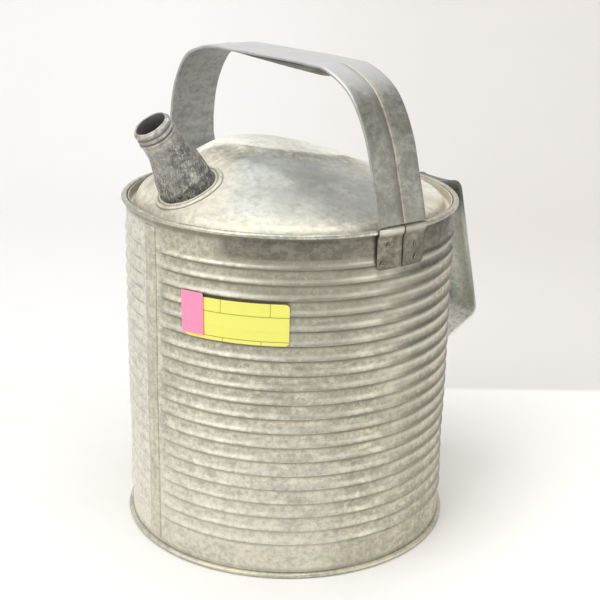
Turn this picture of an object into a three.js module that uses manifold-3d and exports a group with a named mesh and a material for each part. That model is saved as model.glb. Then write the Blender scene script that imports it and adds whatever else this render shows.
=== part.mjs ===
// A galvanised steel fuel can: ribbed wall, domed head, short beaded spout, carry handle and tilt handle.
// Millimetres, +Z up, z = 0 on the floor. The spout points along -X and the tilt handle stands out along +X.
// The origin is the middle of the whole can's footprint, so the can's own axis lies a little to one side.
import * as THREE from "three";
import { mergeVertices } from "three/addons/utils/BufferGeometryUtils.js";
import Module from "manifold-3d";

const wasm = await Module();
wasm.setup();

// Driving dimensions
const rimRadius = 110; // outside of both rolled rims
const canHeight = 223.5; // floor to the top of the upper rim
const rimHeight = 3; // height of each rolled rim
const sheet = 0.8; // gauge of the steel
const gap = 0.3; // clearance between pieces that touch
const facets = 48; // flats round the can
const ridgeCount = 20;
const ridgeDepth = 1.4;
const lowestRidge = 23.6;
const highestRidge = 202.5;
const strapWidth = 37.6;
const strapThickness = 2.4;
const handleTop = 313;
const spoutTilt = THREE.MathUtils.degToRad(33.6); // the spout leans outwards from upright by this much

// Sizes that follow from them
const crestRadius = rimRadius - 1.8;
const valleyRadius = crestRadius - ridgeDepth;
const wallInside = valleyRadius - sheet;
const plainRadius = valleyRadius + 0.4;
const floorLevel = 5; // underside of the recessed floor
const shoulderLevel = canHeight - 6.8; // flat margin of the head, sunk inside the rim
const domeRadius = 0.93 * rimRadius;
const outsideWall = crestRadius + gap; // anything fixed to the wall starts here

const galvanised = { color: 0xa9a99c, roughness: 0.55, metalness: 0.7 };
const finishes = {
  wall: galvanised,
  seam: { color: 0x8f8f84, roughness: 0.6, metalness: 0.7 },
  head: { color: 0xb7b8aa, roughness: 0.55, metalness: 0.65 },
  rim: { color: 0xb4b2a4, roughness: 0.5, metalness: 0.7 },
  spout: { color: 0x7e7e7c, roughness: 0.6, metalness: 0.7 },
  collar: { color: 0xc9c4ae, roughness: 0.6, metalness: 0.5 },
  mouth: { color: 0xc8c4bf, roughness: 0.4, metalness: 0.7 },
  strap: { color: 0x8f9188, roughness: 0.5, metalness: 0.75 },
  rearHandle: { color: 0x8b948d, roughness: 0.5, metalness: 0.75 },
  weld: { color: 0x5f5b50, roughness: 0.7, metalness: 0.5 },
  yellowPaper: { color: 0xefe94a, roughness: 0.8, metalness: 0 },
  pinkPaper: { color: 0xf08cc0, roughness: 0.8, metalness: 0 },
};

const can = new THREE.Group();

function addPiece(name, geometry, finish, parent = can) {
  const piece = new THREE.Mesh(geometry, new THREE.MeshStandardMaterial(finish));
  piece.name = name;
  parent.add(piece);
  return piece;
}

// A closed mesh on positions only, with shared corners and no collapsed triangles
function weldCorners(geometry) {
  const bare = geometry.clone();
  bare.deleteAttribute("normal");
  bare.deleteAttribute("uv");
  const merged = mergeVertices(bare, 1e-4);
  const index = merged.index.array;
  const kept = [];
  for (let i = 0; i < index.length; i += 3) {
    const [a, b, c] = [index[i], index[i + 1], index[i + 2]];
    if (a !== b && b !== c && c !== a) {
      kept.push(a, b, c);
    }
  }
  merged.setIndex(kept);
  merged.computeVertexNormals();
  return merged;
}

function toSolid(geometry) {
  const vertProperties = Float32Array.from(geometry.attributes.position.array);
  const triVerts = Uint32Array.from(geometry.index.array);
  return new wasm.Manifold(new wasm.Mesh({ numProp: 3, vertProperties, triVerts }));
}

function cut(geometry, ...tools) {
  let solid = toSolid(geometry);
  for (const tool of tools) {
    solid = solid.subtract(toSolid(tool));
  }
  const mesh = solid.getMesh();
  const result = new THREE.BufferGeometry();
  result.setAttribute("position", new THREE.BufferAttribute(mesh.vertProperties, 3));
  result.setIndex(new THREE.BufferAttribute(mesh.triVerts, 1));
  result.computeVertexNormals();
  return result;
}

// Turns an outline of [radius, height] corners, listed up the outside and down the inside, about +Z
function turn(outline, segments = facets) {
  const closedOnAxis = outline[0][0] === 0;
  const corners = closedOnAxis ? outline : [...outline, outline[0]];
  const points = corners.map(([radius, height]) => new THREE.Vector2(radius, height));
  const geometry = new THREE.LatheGeometry(points, segments);
  geometry.rotateX(Math.PI / 2);
  return weldCorners(geometry);
}

// Extrudes an outline drawn in an upright plane through the axis, [distance out, height], across that plane
function across(outline, width) {
  const shape = new THREE.Shape(outline.map(([out, up]) => new THREE.Vector2(out, up)));
  const geometry = new THREE.ExtrudeGeometry(shape, { depth: width, bevelEnabled: false });
  geometry.translate(0, 0, -width / 2);
  geometry.applyMatrix4(
    new THREE.Matrix4().makeBasis(
      new THREE.Vector3(1, 0, 0),
      new THREE.Vector3(0, 0, 1),
      new THREE.Vector3(0, -1, 0),
    ),
  );
  return weldCorners(geometry);
}

// The outline of a band: its outer face, then the same line moved inwards by the thickness and walked back
function bandOutline(face, thickness) {
  const inner = face.map(([out, up], i) => {
    const [beforeOut, beforeUp] = face[Math.max(i - 1, 0)];
    const [afterOut, afterUp] = face[Math.min(i + 1, face.length - 1)];
    const along = new THREE.Vector2(afterOut - beforeOut, afterUp - beforeUp).normalize();
    return [out + along.y * thickness, up - along.x * thickness];
  });
  return [...face, ...inner.reverse()];
}

// A line of straight stretches with each inner corner rounded off
function roundedLine(corners, radius) {
  const line = [corners[0]];
  for (let i = 1; i < corners.length - 1; i += 1) {
    const corner = new THREE.Vector2(...corners[i]);
    const towards = (other) => {
      const way = new THREE.Vector2(...other).sub(corner);
      return corner.clone().add(way.setLength(Math.min(radius, way.length() / 2.2)));
    };
    const bend = new THREE.QuadraticBezierCurve(towards(corners[i - 1]), corner, towards(corners[i + 1]));
    line.push(...bend.getPoints(4).map((point) => [point.x, point.y]));
  }
  line.push(corners.at(-1));
  return line;
}

// A curved sheet that hugs the wall: angles in degrees from +X, anticlockwise
function wallSheet(fromAngle, toAngle, low, high, innerRadius, thickness, segments) {
  const start = THREE.MathUtils.degToRad(fromAngle);
  const end = THREE.MathUtils.degToRad(toAngle);
  const shape = new THREE.Shape();
  shape.absarc(0, 0, innerRadius + thickness, start, end, false);
  shape.absarc(0, 0, innerRadius, end, start, true);
  const geometry = new THREE.ExtrudeGeometry(shape, {
    depth: high - low,
    bevelEnabled: false,
    curveSegments: segments,
  });
  geometry.translate(0, 0, low);
  return weldCorners(geometry);
}

function rolledRim(bottom) {
  const top = bottom + rimHeight;
  const inside = wallInside + gap;
  const bevel = 0.8;
  return turn([
    [inside, bottom],
    [rimRadius - bevel, bottom],
    [rimRadius, bottom + bevel],
    [rimRadius, top - bevel],
    [rimRadius - bevel, top],
    [inside + bevel, top],
    [inside, top - bevel],
  ]);
}

function wall() {
  const bottom = rimHeight + gap;
  const top = canHeight - rimHeight - gap;
  const pitch = (highestRidge - lowestRidge) / (ridgeCount - 1);
  const outline = [
    [wallInside, bottom],
    [plainRadius, bottom],
    [plainRadius, lowestRidge - pitch / 3],
  ];
  for (let ridge = 0; ridge < ridgeCount; ridge += 1) {
    const height = lowestRidge + ridge * pitch;
    outline.push([crestRadius, height]);
    if (ridge < ridgeCount - 1) {
      outline.push([valleyRadius, height + pitch / 2]);
    }
  }
  outline.push([plainRadius, highestRidge + pitch / 3], [plainRadius, top], [wallInside, top]);
  return turn(outline);
}

// The crown of the dome, from its middle out to the flat margin: share of the rim radius, then height
const domeLine = [
  [0, 256.9],
  [0.2, 253],
  [0.38, 248.6],
  [0.55, 240.9],
  [0.73, 233.4],
  [0.85, 227],
  [0.9, 223.3],
  [0.93, shoulderLevel],
].map(([share, height]) => [share * rimRadius, height]);

// The dome leans: it rises towards the spout and the back of the carry handle, and not at all at its edge
const lean = new THREE.Vector2(-0.165, 0.244);

function leanDome(geometry) {
  const position = geometry.attributes.position;
  for (let i = 0; i < position.count; i += 1) {
    const [x, y, z] = [position.getX(i), position.getY(i), position.getZ(i)];
    const share = Math.max(0, 1 - Math.hypot(x, y) / domeRadius);
    position.setZ(i, z + (lean.x * x + lean.y * y) * share);
  }
  return geometry;
}

// All the space under the dome, raised by a clearance: what stands on the dome is trimmed with it
function domeCutter(raise) {
  const crown = domeLine.map(([radius, height]) => [radius, height + raise]);
  return leanDome(turn([[0, shoulderLevel - 20], [domeRadius, shoulderLevel - 20], ...crown.reverse()]));
}

// The spout stands on the dome: its own frame has +Z along its axis, and 0 at the top of its collar
const spoutFoot = new THREE.Vector3(-0.728 * rimRadius, 0, 239.7);
const spoutFrame = new THREE.Matrix4()
  .makeRotationY(-spoutTilt)
  .setPosition(spoutFoot);
const spoutFacets = 24;
const neckBelow = -9; // the neck and collar start this far below the collar's top and are trimmed to the dome
const collarInside = 19.4;
const collarOutside = 22.5;

function head() {
  const inside = wallInside - gap; // outside of the head's upturned edge
  const domeTop = domeLine.toReversed();
  const domeUnder = domeLine.map(([radius, height]) => [radius, height - 1.1 * sheet]);
  const last = domeUnder.length - 1;
  domeUnder[last] = [domeRadius - 0.5 * sheet, shoulderLevel - sheet];
  const outline = [
    ...domeUnder,
    [inside, shoulderLevel - sheet],
    [inside, canHeight - 1],
    [inside - sheet, canHeight - 1],
    [inside - sheet, shoulderLevel],
    ...domeTop,
  ];
  const pierce = weldCorners(new THREE.CylinderGeometry(17, 17, 40, spoutFacets).rotateX(Math.PI / 2));
  pierce.applyMatrix4(spoutFrame);
  return cut(leanDome(turn(outline)), pierce);
}

function onDome(outline) {
  return cut(turn(outline, spoutFacets).applyMatrix4(spoutFrame), domeCutter(1.5 * gap));
}

function collar() {
  return onDome([
    [collarInside, neckBelow],
    [collarOutside, neckBelow],
    [collarOutside, -1.2],
    [collarOutside - 1, 0],
    [collarInside + 0.6, 0],
    [collarInside, -0.6],
  ]);
}

// The flared neck: [radius, height along the spout's axis] up its outside
const neckLine = [
  [18.9, neckBelow],
  [18.9, 0],
  [18.5, 5.6],
  [16.9, 12],
  [14.4, 19],
  [12.5, 25],
  [11.9, 31],
  [12.1, 36.5],
];

function neck() {
  const inside = neckLine.map(([radius, height]) => [radius - sheet, height]);
  return onDome([...neckLine, ...inside.reverse()]);
}

function mouthRing() {
  const bore = 9.1;
  const start = neckLine.at(-1)[1] + gap;
  return turn([
    [bore, start],
    [11.3, start],
    [12, start + 1.2],
    [12.1, start + 2.8],
    [11.2, start + 4],
    [11.2, start + 5],
    [12.1, start + 6.3],
    [12.1, start + 7.6],
    [11, start + 9],
    [bore + 0.5, start + 9],
    [bore, start + 8.4],
  ], spoutFacets).applyMatrix4(spoutFrame);
}

// The outer face of the carry handle's strap, front foot to back foot: [distance towards +Y, height]
function strapFace() {
  const footLevel = canHeight + sheet + 5 * gap;
  const guide = [
    [-109.8, footLevel],
    [-103, 250],
    [-94.5, 276],
    [-79, 299.5],
    [-55, handleTop - 1.7],
    [-38, handleTop - 0.4],
    [15, handleTop],
    [68, handleTop - 0.6],
    [82, handleTop - 3.4],
    [97, 303.5],
    [112, 283],
    [118, 258],
    [118, 240],
    [110, footLevel],
  ].map(([y, z]) => new THREE.Vector3(y, z, 0));
  const curve = new THREE.CatmullRomCurve3(guide, false, "centripetal");
  return curve.getSpacedPoints(40).map((point) => [point.x, point.y]);
}

function carryStrap() {
  return across(bandOutline(strapFace(), strapThickness), strapWidth).rotateZ(Math.PI / 2);
}

// A shallow round-bellied trough under the middle of the strap
function grip() {
  const front = -46;
  const back = 44;
  const depth = 5.2;
  const top = handleTop - strapThickness - 1 - gap; // under the strap where it is lowest along the grip
  const halfWidth = strapWidth / 2;
  const shape = new THREE.Shape();
  shape.moveTo(halfWidth, 0);
  shape.lineTo(halfWidth - sheet, 0);
  shape.absellipse(0, 0, halfWidth - sheet, depth - sheet, 0, Math.PI, true);
  shape.lineTo(-halfWidth, 0);
  shape.absellipse(0, 0, halfWidth, depth, Math.PI, 2 * Math.PI, false);
  const geometry = new THREE.ExtrudeGeometry(shape, {
    depth: back - front,
    bevelEnabled: false,
    curveSegments: 12,
  });
  geometry.rotateX(Math.PI / 2);
  geometry.translate(0, back, top);
  return weldCorners(geometry);
}

const tabWidth = 18.4;
const tabTurn = 5.05; // each tab stands this many degrees off the middle of its foot
const tabBottom = 199;

// A strap end bent over the rim and down the wall
function tab() {
  const overRim = canHeight + gap;
  const besideRim = rimRadius + gap;
  return across([
    [outsideWall, tabBottom],
    [outsideWall + sheet, tabBottom],
    [outsideWall + sheet, canHeight - rimHeight - 2],
    [besideRim + sheet, canHeight - rimHeight - 0.2],
    [besideRim + sheet, overRim - 0.4],
    [besideRim, overRim + sheet],
    [wallInside + gap, overRim + sheet],
    [wallInside + gap, overRim],
    [besideRim - 0.4, overRim],
    [besideRim, overRim - 0.6],
    [besideRim, canHeight - rimHeight - gap],
    [outsideWall, canHeight - rimHeight - 1.5],
  ], tabWidth);
}

// The tilt handle: the outer face of its strap, foot to foot, [distance out, height]
const rearWidth = 35;
const rearThickness = 2;
const rearFootTop = 203;
const rearFootBottom = 70;

function rearStrap() {
  const lowerFoot = outsideWall + rearThickness;
  const face = roundedLine([
    [outsideWall, rearFootTop],
    [outsideWall, 218.2],
    [141, 217.1],
    [166.9, 111.6],
    [lowerFoot, 84.5],
    [lowerFoot, rearFootBottom],
  ], 8);
  return across(bandOutline(face, rearThickness), rearWidth);
}

// A spot weld: a low button whose axis points straight out of the wall
function weldButton(out) {
  const height = 0.4;
  const button = new THREE.CylinderGeometry(1.3, 1.7, height, 8);
  button.rotateZ(-Math.PI / 2);
  button.translate(out + gap + height / 2, 0, 0);
  return weldCorners(button);
}

function addWelds(prefix, out, places) {
  places.forEach(([angle, sideways, height], i) => {
    const holder = new THREE.Group();
    holder.rotation.z = THREE.MathUtils.degToRad(angle);
    const button = addPiece(`${prefix}_${i + 1}`, weldButton(out), finishes.weld, holder);
    button.position.set(0, sideways, height);
    can.add(holder);
  });
}

addPiece("body_shell", wall(), finishes.wall);
addPiece("side_seam", wallSheet(176.8, 183.2, 10, 214, outsideWall, 0.5, 2), finishes.seam);
addPiece("top_head", head(), finishes.head);
addPiece("top_rim", rolledRim(canHeight - rimHeight), finishes.rim);
addPiece("bottom_rim", rolledRim(0), finishes.rim);
addPiece("bottom_head", turn([
  [0, floorLevel],
  [wallInside - gap - sheet, floorLevel],
  [wallInside - gap - sheet, 0.6],
  [wallInside - gap, 0.6],
  [wallInside - gap, floorLevel + sheet],
  [0, floorLevel + sheet],
]), finishes.rim);

addPiece("spout_collar", collar(), finishes.collar);
addPiece("spout_neck", neck(), finishes.spout);
addPiece("spout_mouth", mouthRing(), finishes.mouth);

addPiece("carry_handle", carryStrap(), finishes.strap);
addPiece("handle_grip", grip(), finishes.strap);

for (const [foot, angle] of [["front", -90], ["back", 90]]) {
  for (const [hand, side] of [["left", -1], ["right", 1]]) {
    const piece = addPiece(`${foot}_tab_${hand}`, tab(), finishes.strap);
    piece.rotation.z = THREE.MathUtils.degToRad(angle + side * tabTurn);
  }
  addWelds(`${foot}_weld`, outsideWall + sheet, [
    [angle - tabTurn, -1, 214],
    [angle - tabTurn, -5, 203],
    [angle + tabTurn, 1, 211.5],
    [angle + tabTurn, 2, 204],
  ]);
}

addPiece("rear_handle", rearStrap(), finishes.rearHandle);
addWelds("rear_handle_weld", outsideWall + rearThickness, [
  [0, -9, 208],
  [0, 9, 208],
  [0, -9, 76],
  [0, 9, 76],
]);

// The pink label is stuck over one end of the yellow one
const paper = 0.25;
const priceLabel = wallSheet(-162.4, -127.3, 155.5, 181.3, outsideWall, paper, 10);
const lotLabel = wallSheet(-163.7, -155.2, 157.3, 183.7, outsideWall + paper + gap, paper, 3);
addPiece("price_label", priceLabel, finishes.yellowPaper);
addPiece("lot_label", lotLabel, finishes.pinkPaper);

const footprint = new THREE.Box3().setFromObject(can, true);
can.position.set(-(footprint.min.x + footprint.max.x) / 2, -(footprint.min.y + footprint.max.y) / 2, 0);

export default can;
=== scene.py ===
import math

import bmesh
import bpy
import numpy as np
from mathutils import Euler, Matrix, Vector


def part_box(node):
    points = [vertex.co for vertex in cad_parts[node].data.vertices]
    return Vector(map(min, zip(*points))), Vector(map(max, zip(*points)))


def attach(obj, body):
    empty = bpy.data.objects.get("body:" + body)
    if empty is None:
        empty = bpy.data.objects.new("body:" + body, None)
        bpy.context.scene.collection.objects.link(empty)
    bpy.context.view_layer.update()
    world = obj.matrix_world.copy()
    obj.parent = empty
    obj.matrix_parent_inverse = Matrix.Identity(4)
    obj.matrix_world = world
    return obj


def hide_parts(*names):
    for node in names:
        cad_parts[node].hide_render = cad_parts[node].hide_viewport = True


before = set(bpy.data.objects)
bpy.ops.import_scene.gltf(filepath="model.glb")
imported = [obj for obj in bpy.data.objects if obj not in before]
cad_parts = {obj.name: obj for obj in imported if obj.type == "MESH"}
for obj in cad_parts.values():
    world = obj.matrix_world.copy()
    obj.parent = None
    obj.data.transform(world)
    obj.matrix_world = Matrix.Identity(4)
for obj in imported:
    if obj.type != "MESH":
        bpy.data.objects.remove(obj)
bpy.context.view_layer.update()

# A weathered galvanised fuel can. Metres, +Z up, spout towards -X, tilt handle towards +X.
# Sizes are worked out in millimetres in the can's own frame, whose axis stands in the middle of the top rim.

MM = 0.001
rim_low, rim_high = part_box("top_rim")
can_axis = Vector(((rim_low.x + rim_high.x) / 2, (rim_low.y + rim_high.y) / 2, 0))
RIM_RADIUS = (rim_high.x - rim_low.x) / 2 / MM
CAN_HEIGHT = rim_high.z / MM
RIM_TALL = (rim_high.z - rim_low.z) / MM
SHEET = 0.8
GAP = 0.3

wall_low, wall_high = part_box("body_shell")
CREST_RADIUS = (wall_high.x - wall_low.x) / 2 / MM
RIDGE_DEPTH = 1.4
VALLEY_RADIUS = CREST_RADIUS - RIDGE_DEPTH
WALL_INSIDE = VALLEY_RADIUS - SHEET
PLAIN_RADIUS = VALLEY_RADIUS + 0.4
WALL_FACE = CREST_RADIUS + GAP
RIDGES = 20
LOWEST_RIDGE = 23.6
HIGHEST_RIDGE = 202.5
RIDGE_PITCH = (HIGHEST_RIDGE - LOWEST_RIDGE) / (RIDGES - 1)
SEAM_ANGLE = 180.0

SHOULDER = CAN_HEIGHT - 6.8
DOME_RADIUS = 0.93 * RIM_RADIUS
DOME_SHARES = (0, 0.2, 0.38, 0.55, 0.73, 0.85, 0.9, 0.93)
DOME_HEIGHTS = (256.9, 253, 248.6, 240.9, 233.4, 227, 223.3, SHOULDER)
DOME_LEAN = (-0.165, 0.244)

SPOUT_TILT = math.radians(33.6)
SPOUT_FOOT = Vector((-0.728 * RIM_RADIUS, 0, 239.7))
FOOT_SHIFT = (-0.7, 1.3)
HOLE_RADIUS = 16.6

STRAP_WIDTH = 37.6
STRAP_THICKNESS = 2.4
HANDLE_TOP = 313.0


# ---------------------------------------------------------------- number helpers

def smoothstep(low, high, value):
    share = np.clip((value - low) / (high - low), 0, 1)
    return share * share * (3 - 2 * share)


def hump(value, middle, width):
    return np.exp(-(((value - middle) / width) ** 2))


def turn_apart(angle, other):
    """Smallest difference between two angles, in degrees."""
    return (angle - other + 180) % 360 - 180


def waves(first, second, seed, count=7, scale=1.0):
    """A smooth wandering field over two coordinates, from about -1 to 1."""
    source = np.random.default_rng(seed)
    total = np.zeros(np.broadcast(first, second).shape)
    for _ in range(count):
        along, up = source.uniform(-scale, scale), source.uniform(-scale, scale)
        phase = source.uniform(0, 6.28)
        total += np.sin(along * first + up * second + phase)
    return total / math.sqrt(count)


def smooth_line(known, values, wanted):
    """A cubic line through known points, with slopes taken from its neighbours."""
    known, values = np.asarray(known, float), np.asarray(values, float)
    slopes = np.gradient(values, known)
    slot = np.clip(np.searchsorted(known, wanted, side="right") - 1, 0, len(known) - 2)
    span = known[slot + 1] - known[slot]
    t = np.clip((wanted - known[slot]) / span, 0, 1)
    start = (2 * t**3 - 3 * t**2 + 1) * values[slot] + (t**3 - 2 * t**2 + t) * span * slopes[slot]
    end = (-2 * t**3 + 3 * t**2) * values[slot + 1] + (t**3 - t**2) * span * slopes[slot + 1]
    return start + end


def line_through(points, count):
    """An evenly stepped smooth line through points in a plane."""
    points = np.asarray(points, float)
    steps = np.sqrt(np.linalg.norm(np.diff(points, axis=0), axis=1))
    knots = np.concatenate([[0], np.cumsum(steps)])
    fine = np.linspace(0, knots[-1], 60 * len(points))
    curve = np.stack([smooth_line(knots, points[:, i], fine) for i in range(points.shape[1])], axis=1)
    return even_steps(curve, count)


def even_steps(curve, count):
    """The same line with its points spread evenly along it."""
    length = np.concatenate([[0], np.cumsum(np.linalg.norm(np.diff(curve, axis=0), axis=1))])
    wanted = np.linspace(0, length[-1], count)
    return np.stack([np.interp(wanted, length, curve[:, i]) for i in range(curve.shape[1])], axis=1)


def rounded_line(corners, radius, bend_steps=10):
    """Straight stretches with each inner corner rounded by a parabola."""
    corners = [np.asarray(corner, float) for corner in corners]
    line = [corners[0]]
    for before, corner, after in zip(corners, corners[1:], corners[2:]):
        entry = corner + (before - corner) * min(radius / np.linalg.norm(before - corner), 0.45)
        leave = corner + (after - corner) * min(radius / np.linalg.norm(after - corner), 0.45)
        for t in np.linspace(0, 1, bend_steps):
            line.append((1 - t) ** 2 * entry + 2 * t * (1 - t) * corner + t**2 * leave)
    line.append(corners[-1])
    return np.array(line)


def full_turn(steps):
    """Evenly spaced angles once round a circle, in degrees."""
    return np.arange(steps) * 360 / steps


def arc(centre, radius, start, end, steps):
    """Points on an arc, with angles in degrees."""
    angles = np.radians(np.linspace(start, end, steps))
    return [(centre[0] + radius * math.cos(a), centre[1] + radius * math.sin(a)) for a in angles]


# ---------------------------------------------------------------- mesh helpers

def link_new(name, data):
    """Puts a mesh, light or camera into the scene as a new object."""
    holder = bpy.data.objects.new(name, data)
    bpy.context.scene.collection.objects.link(holder)
    return holder


def smooth(mesh, sharp):
    """Smooth shading that breaks at edges sharper than this many degrees."""
    mesh.shade_smooth()
    mesh.set_sharp_from_angle(angle=math.radians(sharp))


def new_object(name, points, faces, sharp=40):
    """A smooth-shaded object from points in millimetres in the can's own frame."""
    mesh = bpy.data.meshes.new(name)
    metres = np.asarray(points, float).reshape(-1, 3) * MM + np.array(can_axis)
    mesh.from_pydata(metres.tolist(), [], faces)
    mesh.validate()
    smooth(mesh, sharp)
    return link_new(name, mesh)


def grid_faces(rows, columns, wrap_rows=False, wrap_columns=True):
    """Four-sided faces over a grid of points, listed row by row."""
    faces = []
    for row in range(rows if wrap_rows else rows - 1):
        upper = (row + 1) % rows
        for column in range(columns if wrap_columns else columns - 1):
            following = (column + 1) % columns
            faces.append((
                row * columns + column,
                row * columns + following,
                upper * columns + following,
                upper * columns + column,
            ))
    return faces


def orient_outwards(piece):
    """Merges points that coincide and turns every face outwards."""
    work = bmesh.new()
    work.from_mesh(piece.data)
    bmesh.ops.remove_doubles(work, verts=work.verts, dist=1e-7)
    bmesh.ops.recalc_face_normals(work, faces=work.faces)
    work.to_mesh(piece.data)
    work.free()
    piece.data.update()
    return piece


def ring_solid(name, rings, sharp=40):
    """Closed loops that follow one another round a circuit; rings has shape (steps, loop points, 3)."""
    steps, loop = rings.shape[:2]
    return orient_outwards(new_object(name, rings, grid_faces(steps, loop, wrap_rows=True), sharp))


def swept_solid(name, rings, sharp=40):
    """Closed loops from one end to the other, with a flat cap on each end."""
    steps, loop = rings.shape[:2]
    faces = grid_faces(steps, loop)
    faces.append(tuple(range(loop)))
    faces.append(tuple((steps - 1) * loop + i for i in reversed(range(loop))))
    return orient_outwards(new_object(name, rings, faces, sharp))


def around_axis(radius, degrees, height):
    """Points from cylindrical coordinates; angles run anticlockwise from +X."""
    turn = np.radians(degrees)
    radius, turn, height = np.broadcast_arrays(radius, turn, height)
    return np.stack([radius * np.cos(turn), radius * np.sin(turn), height], axis=-1)


def turned_solid(name, profile, steps, shape=None, sharp=40):
    """Turns a closed [radius, height] loop about the can's axis; shape may move each point."""
    profile = np.asarray(profile, float)
    degrees = full_turn(steps)
    radius, turn = np.meshgrid(profile[:, 0], degrees)
    height = np.broadcast_to(profile[:, 1], radius.shape)
    if shape:
        radius, height = shape(radius, turn, height)
    return ring_solid(name, around_axis(radius, turn, height), sharp)


def paint(piece, **layers):
    """Stores numbers from 0 to 1 for each point, which the material reads by the layer's name."""
    for name, values in layers.items():
        layer = piece.data.attributes.new(name, "FLOAT", "POINT")
        layer.data.foreach_set("value", np.clip(values, 0, 1).astype(np.float32))


def can_points(piece):
    """A piece's points in millimetres in the can's own frame."""
    flat = np.zeros(len(piece.data.vertices) * 3, np.float32)
    piece.data.vertices.foreach_get("co", flat)
    return (flat.reshape(-1, 3) - np.array(can_axis)) / MM


def angles_of(points):
    """Each point's angle round the can's axis, in degrees from +X."""
    return np.degrees(np.arctan2(points[:, 1], points[:, 0]))


def keep(piece, material, slot, *nodes):
    """Finishes a piece: its material, the CAD nodes it stands for, and its body. The slot argument is not
    used.
    """
    piece.data.materials.clear()
    piece.data.materials.append(material)
    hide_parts(*nodes)
    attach(piece, "root")
    return piece


# ---------------------------------------------------------------- materials

class Graph:
    """Builds one node material, mostly from noise over the object's own coordinates."""

    def __init__(self, name):
        self.material = bpy.data.materials.new(name)
        self.material.use_nodes = True
        self.nodes = self.material.node_tree.nodes
        self.links = self.material.node_tree.links
        self.nodes.clear()
        self.shader = self.add("BsdfPrincipled")
        self.add("OutputMaterial", {"Surface": self.shader.outputs["BSDF"]})
        self.coordinates = self.add("TexCoord").outputs["Object"]

    def add(self, kind, inputs=(), **settings):
        """A new node with its settings and its inputs, which are values or other nodes' outputs."""
        node = self.nodes.new("ShaderNode" + kind)
        for name, value in settings.items():
            setattr(node, name, value)
        for socket, value in dict(inputs).items():
            self.feed(node.inputs[socket], value)
        return node

    def feed(self, socket, value):
        if isinstance(value, bpy.types.NodeSocket):
            self.links.new(value, socket)
        elif isinstance(value, tuple) and len(value) == 3 and len(socket.default_value) == 4:
            socket.default_value = (*value, 1)
        else:
            socket.default_value = value

    def noise(self, size_mm, detail=4.0, roughness=0.55, distortion=0.0, stretch=None):
        place = self.coordinates
        if stretch:
            place = self.add("Mapping", {"Vector": place, "Scale": stretch}).outputs["Vector"]
        inputs = {"Vector": place, "Scale": 1000 / size_mm, "Detail": detail, "Roughness": roughness}
        return self.add("TexNoise", {**inputs, "Distortion": distortion}).outputs["Fac"]

    def spangle(self, size_mm):
        """One number for each crystal of the zinc, with rippled borders between them."""
        ripple = self.add("TexNoise", {"Vector": self.coordinates, "Scale": 1000 / (size_mm * 0.8)})
        shift = {0: ripple.outputs["Color"], 1: (size_mm * MM * 0.6,) * 3, 2: self.coordinates}
        place = self.add("VectorMath", shift, operation="MULTIPLY_ADD").outputs["Vector"]
        crystals = self.add("TexVoronoi", {"Vector": place, "Scale": 1000 / size_mm, "Randomness": 0.95})
        return self.add("SeparateColor", {"Color": crystals.outputs["Color"]}).outputs["Red"]

    def painted(self, name):
        return self.add("Attribute", attribute_name=name).outputs["Fac"]

    def ranged(self, value, low, high, to_low=0.0, to_high=1.0):
        inputs = {"Value": value, "From Min": low, "From Max": high, "To Min": to_low, "To Max": to_high}
        return self.add("MapRange", inputs, interpolation_type="SMOOTHSTEP").outputs["Result"]

    def math(self, operation, first, second):
        return self.add("Math", {0: first, 1: second}, operation=operation).outputs["Value"]

    def times(self, first, second):
        return self.math("MULTIPLY", first, second)

    def mix(self, share, first, second):
        return self.add("Mix", {0: share, 6: first, 7: second}, data_type="RGBA").outputs[2]

    def layered(self, colour, coats):
        """Lays coats over a colour one after another; each is a share and the coat's colour."""
        for share, coat in coats:
            colour = self.mix(share, colour, coat)
        return colour

    def bumps(self, layers):
        """One bump over another; each is a height, a strength and a depth in millimetres."""
        normal = None
        for height, strength, depth_mm in layers:
            inputs = {"Height": height, "Strength": strength, "Distance": depth_mm * MM}
            if normal:
                inputs["Normal"] = normal
            normal = self.add("Bump", inputs).outputs["Normal"]
        return normal

    def finish(self, colour, roughness, metallic, normal):
        looks = {"Base Color": colour, "Roughness": roughness, "Metallic": metallic, "Normal": normal}
        for socket, value in looks.items():
            self.feed(self.shader.inputs[socket], value)
        return self.material


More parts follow.
